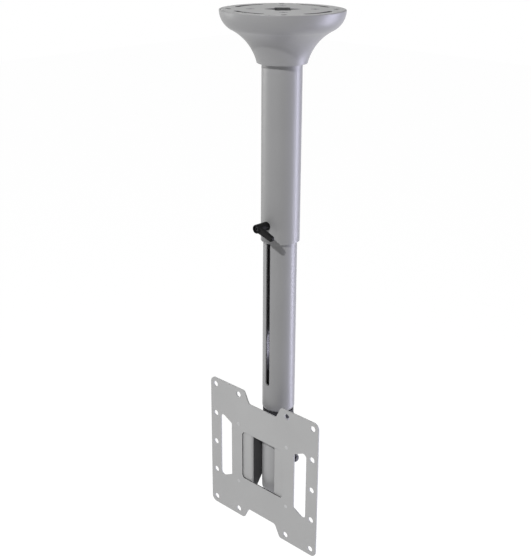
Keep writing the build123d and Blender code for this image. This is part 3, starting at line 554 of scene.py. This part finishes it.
# %% Lever
lever = merged_copy("clamp_lever", "clamp_lever_work")
remesh = lever.modifiers.new("skin", "REMESH")
remesh.mode = "VOXEL"
remesh.voxel_size = 0.32 * MM
relax = lever.modifiers.new("flow", "SMOOTH")
relax.factor = 0.5
relax.iterations = 6
lever = kept_mesh(lever, "clamp_lever_moulded")
lever.data.shade_smooth()
stands_for(lever, "clamp_lever")
print("lever faces:", len(lever.data.polygons))


# %% [markdown]
# ## Pieces from Geometry Nodes
# Each tree below is built in the script, with named sizes as its inputs. The class sets
# those inputs by their identifiers, evaluates the tree once and keeps a plain mesh.

# %% A shape with named sizes
class Shape(Network):
    """A tree of Geometry Nodes with named sizes in metres."""

    def __init__(self, name, sizes):
        super().__init__(bpy.data.node_groups.new(name, "GeometryNodeTree"))
        self.name = name
        self.sizes = sizes
        interface = self.tree.interface
        interface.new_socket("Geometry", in_out="OUTPUT", socket_type="NodeSocketGeometry")
        self.identifiers = {}
        for size, value in sizes.items():
            kind = "NodeSocketInt" if isinstance(value, int) else "NodeSocketFloat"
            socket = interface.new_socket(size, in_out="INPUT", socket_type=kind)
            self.identifiers[size] = socket.identifier
        self.entry = self.tree.nodes.new("NodeGroupInput")

    def size(self, name):
        """A named size as a wire."""
        return Wire(self, self.entry.outputs[name])

    def point(self, x, y, z):
        return self.node("ShaderNodeCombineXYZ", {}, {"X": x, "Y": y, "Z": z})

    def moved(self, geometry, shift=(0, 0, 0), turned=(0, 0, 0), scale=(1, 1, 1)):
        return self.node("GeometryNodeTransform", {}, {
            "Geometry": geometry, "Translation": shift, "Rotation": turned, "Scale": scale,
        })

    def joined(self, *parts):
        return self.node("GeometryNodeJoinGeometry", {}, {"Geometry": list(parts)})

    def curve_through(self, count, place, closed):
        """A curve whose points are placed by sums on their index."""
        line = self.node("GeometryNodeMeshLine", {}, {"Count": count})
        line = self.node("GeometryNodeSetPosition", {}, {"Geometry": line, "Position": place})
        curve = self.node("GeometryNodeMeshToCurve", {}, {"Mesh": line})
        return self.node(
            "GeometryNodeSetSplineCyclic", {}, {"Geometry": curve, "Cyclic": closed}
        )

    def swept(self, path, profile, caps=False):
        sockets = {"Curve": path, "Profile Curve": profile, "Fill Caps": caps}
        return self.node("GeometryNodeCurveToMesh", {}, sockets)

    def finished(self, geometry, material, name):
        """Closes the tree, sets its sizes and returns a plain object."""
        real = self.node("GeometryNodeRealizeInstances", {}, {"Geometry": geometry})
        dressed = self.node(
            "GeometryNodeSetMaterial", {}, {"Geometry": real, "Material": material}
        )
        output = self.tree.nodes.new("NodeGroupOutput")
        self.tree.links.new(dressed.socket, output.inputs[0])
        thing = bpy.data.objects.new(name + "_work", bpy.data.meshes.new(name + "_work"))
        bpy.context.scene.collection.objects.link(thing)
        modifier = thing.modifiers.new(self.name, "NODES")
        modifier.node_group = self.tree
        for size, value in self.sizes.items():
            modifier[self.identifiers[size]] = value
        piece = kept_mesh(thing, name)
        print(name, "faces:", len(piece.data.polygons))
        return piece


# %% Faces outwards
def closed_outwards(piece):
    """Joins doubled points and turns every face of a closed piece outwards."""
    work = bmesh.new()
    work.from_mesh(piece.data)
    bmesh.ops.remove_doubles(work, verts=work.verts, dist=0.001 * MM)
    bmesh.ops.recalc_face_normals(work, faces=work.faces)
    work.to_mesh(piece.data)
    work.free()


def heights(piece):
    """The lowest and the highest point of a piece."""
    levels = [vertex.co.z for vertex in piece.data.vertices]
    return min(levels), max(levels)


# %% [markdown]
# ### Bell cover
# The cover is spun from one disc of aluminium. Its section is a rule: a round shoulder
# whose centre is level with the rim runs tangent into a hollow flare that ends at the neck,
# and the inside follows at a constant wall. A lathe could turn a drawn outline, but the
# tangent point would have to be worked out by hand. Here the tree works it out from the
# radii, places the section's points by their index, and sweeps them round a circle. Two
# small lugs inside the rim go into notches of the ceiling plate. The rim's and the neck's
# edges are turned smooth on the lathe, so they are rounded by half a millimetre.

# %% Section of the bell
bell = Shape("bell", {
    "Rim": 82.7 * MM,
    "Shoulder": 28.4 * MM,
    "Flare": 66.2 * MM,
    "Neck": 33.7 * MM,
    "Hole": 27.6 * MM,
    "Height": 68.2 * MM,
    "Wall": 2.0 * MM,
    "Top gap": 0.3 * MM,
    "Points": 28,
    "Lug": 1.7 * MM,
    "Lug height": 3.2 * MM,
})
rim, shoulder, flare = bell.size("Rim"), bell.size("Shoulder"), bell.size("Flare")
neck, height, wall = bell.size("Neck"), bell.size("Height"), bell.size("Wall")
count = bell.size("Points")

# The shoulder's centre is level with the rim; the neck's edge is seen from it.
shoulder_run = rim - shoulder
neck_run = neck - shoulder_run
span = (neck_run * neck_run + height * height).root()
reach = shoulder + flare
along = (reach * reach - flare * flare + span * span) / (span * 2)
aside = (reach * reach - along * along).root()
# The flare's centre, and the angles between which the arcs run.
flare_run = shoulder_run + (along * neck_run + aside * height) / span
flare_drop = (along * height - aside * neck_run) / span
joint = flare_drop.angle_over(flare_run - shoulder_run)
outer_end = -math.pi - ((height - flare_drop) / flare).arcsin()
inner_end = -math.pi - ((height - wall - flare_drop) / (flare + wall)).arcsin()

# %% Points of the section, by their index
index = bell.node("GeometryNodeInputIndex", {}, {})


def stretch(first, length):
    """1 for the points of one stretch of the section, 0 elsewhere."""
    return (index > first - 0.5) * (index < first + length - 0.5)


def arc(first, centre_run, centre_drop, radius, start, end):
    """Run and drop of an arc's points, and nothing for the others."""
    angle = start + (end - start) * ((index - first) / (count - 1))
    mask = stretch(first, count)
    across = centre_run + radius * angle.cos()
    down = centre_drop + radius * angle.sin()
    return across * mask, down * mask


inner_first = count * 2 + 2
sections = [
    arc(0, shoulder_run, 0.0, shoulder, 0.0, joint),
    arc(count, flare_run, flare_drop, flare, joint - math.pi, outer_end),
    (bell.size("Hole") * stretch(count * 2, 2), height * stretch(count * 2, 1)),
    (0.0, (height - wall) * stretch(count * 2 + 1, 1)),
    arc(inner_first, flare_run, flare_drop, flare + wall, inner_end, joint - math.pi),
    arc(inner_first + count, shoulder_run, 0.0, shoulder - wall, joint, 0.0),
]
run = sum(section[0] for section in sections)
drop = sum(section[1] for section in sections) + bell.size("Top gap")
print("nodes in the bell's section:", len(bell.tree.nodes))

# %% Bell and its two lugs
outline = bell.curve_through(count * 4 + 2, bell.point(run - rim, drop, 0.0), True)
circle = bell.node("GeometryNodeCurvePrimitiveCircle", {}, {"Resolution": 192, "Radius": rim})
shell = bell.swept(circle, outline)

LUG_ANGLE = math.radians(122)   # from +X, as the plate's notches
lug_run = rim - wall
lug_drop = bell.size("Top gap") + bell.size("Lug height") * 0.5
lug_x, lug_y = lug_run * math.cos(LUG_ANGLE), lug_run * math.sin(LUG_ANGLE)
lug_places = bell.node("GeometryNodeMeshLine", {}, {
    "Count": 2,
    "Start Location": bell.point(lug_x, lug_y, 0.0 - lug_drop),
    "Offset": bell.point(lug_x * -2, lug_y * -2, 0.0),
})
lug = bell.node("GeometryNodeMeshCylinder", {}, {
    "Vertices": 24, "Radius": bell.size("Lug"), "Depth": bell.size("Lug height"),
})
lugs = bell.node("GeometryNodeInstanceOnPoints", {}, {"Points": lug_places, "Instance": lug})
cover = bell.finished(bell.joined(shell, lugs), silver_cover, "ceiling_cover_bell")
closed_outwards(cover)
cover.name = "bell_work"
cover = edges_rounded(cover, "ceiling_cover_bell", 0.5 * MM, 3)
stands_for(cover, "ceiling_cover")
print("bell, lowest and highest:", [round(level, 4) for level in heights(cover)])

# %% [markdown]
# ### Rivets
# Four rivets hold the screen plate to the arms. Each was set from the front: a small flush
# head there, and a snapped dome behind the flange. One rivet is built from primitives along
# its own axis, and a 2 by 2 grid of points repeats it, which is what instances are for.

# %% Rivets on a grid
PLATE_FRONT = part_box("screen_plate")[0][1]
rivets = Shape("rivets", {
    "Columns": 100.0 * MM,
    "Rows": 100.0 * MM,
    "Shank": 2.0 * MM,
    "Grip": 5.0 * MM,
    "Head": 3.0 * MM,
    "Dome": 4.1 * MM,
    "Dome height": 1.9 * MM,
})
grip, head, shank = rivets.size("Grip"), rivets.size("Head"), rivets.size("Shank")
dome_radius = rivets.size("Dome")
SIDES = 32
body = rivets.moved(
    rivets.node("GeometryNodeMeshCylinder", {}, {
        "Vertices": SIDES, "Radius": shank, "Depth": grip,
    }),
    rivets.point(0.0, 0.0, grip * 0.5),
)
flush = rivets.node("GeometryNodeMeshCone", {}, {
    "Vertices": SIDES, "Radius Top": shank, "Radius Bottom": head, "Depth": head - shank,
})
# The flush head is very slightly crowned, just inside its rim.
crown = rivets.moved(
    rivets.node("GeometryNodeMeshUVSphere", {}, {
        "Segments": SIDES, "Rings": 12, "Radius": head * 0.97,
    }),
    scale=(1, 1, 0.05),
)
dome = rivets.moved(
    rivets.node("GeometryNodeMeshUVSphere", {}, {
        "Segments": SIDES, "Rings": 24, "Radius": 1.0,
    }),
    rivets.point(0.0, 0.0, grip),
    scale=rivets.point(dome_radius, dome_radius, rivets.size("Dome height")),
)
grid = rivets.node("GeometryNodeMeshGrid", {}, {
    "Size X": rivets.size("Columns"),
    "Size Y": rivets.size("Rows"),
    "Vertices X": 2,
    "Vertices Y": 2,
})
one = rivets.joined(body, flush, crown, dome)
four = rivets.node("GeometryNodeInstanceOnPoints", {}, {"Points": grid, "Instance": one})
four = rivets.node("GeometryNodeRealizeInstances", {}, {"Geometry": four})
# The grid lies flat; it is stood up with the heads to the front, in the plate's front face.
placed = rivets.moved(four, (0, PLATE_FRONT, PLATE_CENTRE), (math.radians(-90), 0, 0))
arm_rivets = rivets.finished(placed, metals["rivet_steel"], "arm_rivets_set")
closed_outwards(arm_rivets)
smooth_but(arm_rivets.data, 40)
stands_for(arm_rivets, "arm_rivets")
arm_rivets.data.materials[0] = metals["rivet_steel"]

# %% [markdown]
# ### Spring and threads
# A coil spring and a screw thread are the same rule: a section that climbs round an axis.
# The spring pulls the lever onto its serrations. The threads show where the tilt bolt and
# the swivel bolt come out of their nuts. One function builds the tree of all three, with
# other sizes.

# %% A climbing coil
def coil(name, axis_start, direction, radius, length, turns, section, sides):
    """A section carried round a helix that starts at a point and runs along a direction."""
    helix = Shape(name, {
        "Radius": radius, "Length": length, "Turns": float(turns), "Section": section,
    })
    path = helix.node("GeometryNodeCurveSpiral", {}, {
        "Resolution": 36,
        "Rotations": helix.size("Turns"),
        "Start Radius": helix.size("Radius"),
        "End Radius": helix.size("Radius"),
        "Height": helix.size("Length"),
    })
    ring = helix.node("GeometryNodeCurvePrimitiveCircle", {}, {
        "Resolution": sides, "Radius": helix.size("Section"),
    })
    swept = helix.swept(path, ring, True)
    turn = Vector((0, 0, 1)).rotation_difference(Vector(direction)).to_euler()
    placed = helix.moved(swept, tuple(axis_start), tuple(turn))
    piece = helix.finished(placed, metals["spring_steel"], name)
    closed_outwards(piece)
    smooth_but(piece.data, 50)
    return piece


# %% Lever spring
CLAMP_Z = middle("clamp_stud", 2)
spring_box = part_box("lever_spring")
WIRE = 0.25 * MM                # its radius
spring_length = spring_box[1][1] - spring_box[0][1]
lever_spring = coil(
    "lever_spring_coil",
    (0, spring_box[1][1] - WIRE, CLAMP_Z),
    (0, -1, 0),
    3.0 * MM,
    spring_length - 2 * WIRE,
    3.0,
    WIRE,
    10,
)
stands_for(lever_spring, "lever_spring")
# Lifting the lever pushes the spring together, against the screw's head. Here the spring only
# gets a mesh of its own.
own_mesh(lever_spring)

# %% Threads that show
INSIDE_NUT = 1.2 * MM           # a thread begins this far inside its nut
PIVOT_PITCH = 0.7 * MM
SWIVEL_PITCH = 0.8 * MM
bolt_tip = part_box("pivot_bolt")[1][0]
nut_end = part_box("pivot_nut")[1][0]
pivot_run = bolt_tip - nut_end + 0.4 * MM
pivot_thread = coil(
    "pivot_bolt_thread",
    (nut_end - INSIDE_NUT, 0, middle("pivot_bolt", 2)),
    (1, 0, 0),
    3.9 * MM,
    pivot_run,
    pivot_run / PIVOT_PITCH,
    0.22 * MM,
    4,
)
swivel_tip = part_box("swivel_bolt")[1][2]
swivel_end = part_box("swivel_nut")[1][2]
swivel_run = swivel_tip - swivel_end + 0.3 * MM
swivel_thread = coil(
    "swivel_bolt_thread",
    (0, 0, swivel_end - INSIDE_NUT),
    (0, 0, 1),
    4.9 * MM,
    swivel_run,
    swivel_run / SWIVEL_PITCH,
    0.25 * MM,
    4,
)
for thread, bolt in ((pivot_thread, "pivot_bolt"), (swivel_thread, "swivel_bolt")):
    thread.data.materials.clear()
    thread.data.materials.append(solids[bolt].data.materials[0])
    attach(thread, body_of[bolt])

# %% [markdown]
# ## Light and background
# The picture is a cut-out on white. The shadow of the lever on the tube tells where the main
# lamp stood: in front, to the left of the camera, and about 42 degrees up. A tall lavender
# panel on the right draws the bright line down the tubes, and a weaker one on the left
# brightens their other side. Area lamps aimed at the middle of the mount do the same here,
# the main one small, which keeps the shadow's edge sharp. A last one behind lights the back
# and makes no highlights, because one would burn out the ceiling plate's top.

# %% Lamps
MIDDLE = Vector((0, 0, -0.38))


def lamp(name, turned, raised, distance, size, power, colour, shows=True):
    """An area lamp that looks at the middle of the mount, placed by degrees and metres."""
    light = bpy.data.lights.new(name, "AREA")
    light.shape = "RECTANGLE"
    light.size, light.size_y = size
    light.energy = power
    light.color = colour
    holder = bpy.data.objects.new(name, light)
    holder.visible_glossy = shows
    turned, raised = math.radians(turned), math.radians(raised)
    toward = Vector((
        math.cos(turned) * math.cos(raised),
        math.sin(turned) * math.cos(raised),
        math.sin(raised),
    ))
    holder.location = MIDDLE + toward * distance
    holder.rotation_euler = (-toward).to_track_quat("-Z", "Y").to_euler()
    bpy.context.scene.collection.objects.link(holder)


lamp("key", -75, 42, 4.0, (0.1, 0.1), 172, (1.0, 1.0, 1.0))
lamp("side_panel", 52, -6, 2.6, (1.2, 2.8), 96, (0.81, 0.8, 1.0))
lamp("left_panel", 205, 10, 2.6, (0.9, 2.0), 20, (1.0, 1.0, 0.98))
lamp("back_panel", 134, 8, 3.0, (1.6, 1.6), 90, (1.0, 1.0, 1.0), shows=False)
print("lamps:", len(bpy.data.lights))

# %% [markdown]
# The background is white for the camera and for whatever a shiny or clear surface shows.
# For the rays that light the mount the sky is black, and the floor glows: the photograph's
# undersides are bright, as over a pale studio floor, and its upper sides are not. Light
# Path tells the two kinds of ray apart, in the world and in the floor. The floor lies well
# below the mount. Where it shows it is white with a little matte in it, which keeps a faint
# shadow.

# %% World and floor
SKY_LIGHT = 0.0
FLOOR_GLOW = 0.7
FLOOR_WHITE = 1.1
SHADOW_SHARE = 0.1
FLOOR_Z = -2.4
REACH = 14.0


def background_mask(network):
    """1 for rays that show the background, 0 for rays that light the mount."""
    camera_ray = network.node("ShaderNodeLightPath", {}, {}, "Is Camera Ray")
    shiny = camera_ray.beside("Is Glossy Ray")
    clear = camera_ray.beside("Is Transmission Ray")
    return camera_ray.at_least(shiny).at_least(clear)


world = bpy.data.worlds.new("studio")
bpy.context.scene.world = world
world.use_nodes = True
studio = Network(world.node_tree)
studio.tree.nodes.clear()
white = studio.node("ShaderNodeBackground", {}, {"Color": (1, 1, 1, 1), "Strength": 1.0})
dim = studio.node("ShaderNodeBackground", {}, {"Color": (1, 1, 1, 1), "Strength": SKY_LIGHT})
sky = studio.node("ShaderNodeMixShader", {}, {0: background_mask(studio), 1: dim, 2: white})
studio.node("ShaderNodeOutputWorld", {}, {"Surface": sky}, None)

floor_mesh = bpy.data.meshes.new("floor")
floor_mesh.from_pydata(
    [(x * REACH, y * REACH, FLOOR_Z) for x, y in ((-1, -1), (1, -1), (1, 1), (-1, 1))],
    [],
    [(0, 1, 2, 3)],
)
floor = bpy.data.objects.new("floor", floor_mesh)
bpy.context.scene.collection.objects.link(floor)
pale = bpy.data.materials.new("pale_floor")
pale.use_nodes = True
ground = Network(pale.node_tree)
ground.tree.nodes.clear()
matte = ground.node("ShaderNodeBsdfDiffuse", {}, {"Color": (0.85, 0.85, 0.85, 1)})
glow = ground.node("ShaderNodeEmission", {}, {"Color": (1, 1, 1, 1), "Strength": FLOOR_GLOW})
bright = ground.node("ShaderNodeEmission", {}, {"Color": (1, 1, 1, 1), "Strength": FLOOR_WHITE})
lit = ground.node("ShaderNodeAddShader", {}, {0: matte, 1: glow})
shown = ground.node("ShaderNodeMixShader", {}, {0: SHADOW_SHARE, 1: bright, 2: matte})
surface = ground.node("ShaderNodeMixShader", {}, {0: background_mask(ground), 1: lit, 2: shown})
ground.node("ShaderNodeOutputMaterial", {}, {"Surface": surface}, None)
floor.data.materials.append(pale)
print("floor at height:", FLOOR_Z)
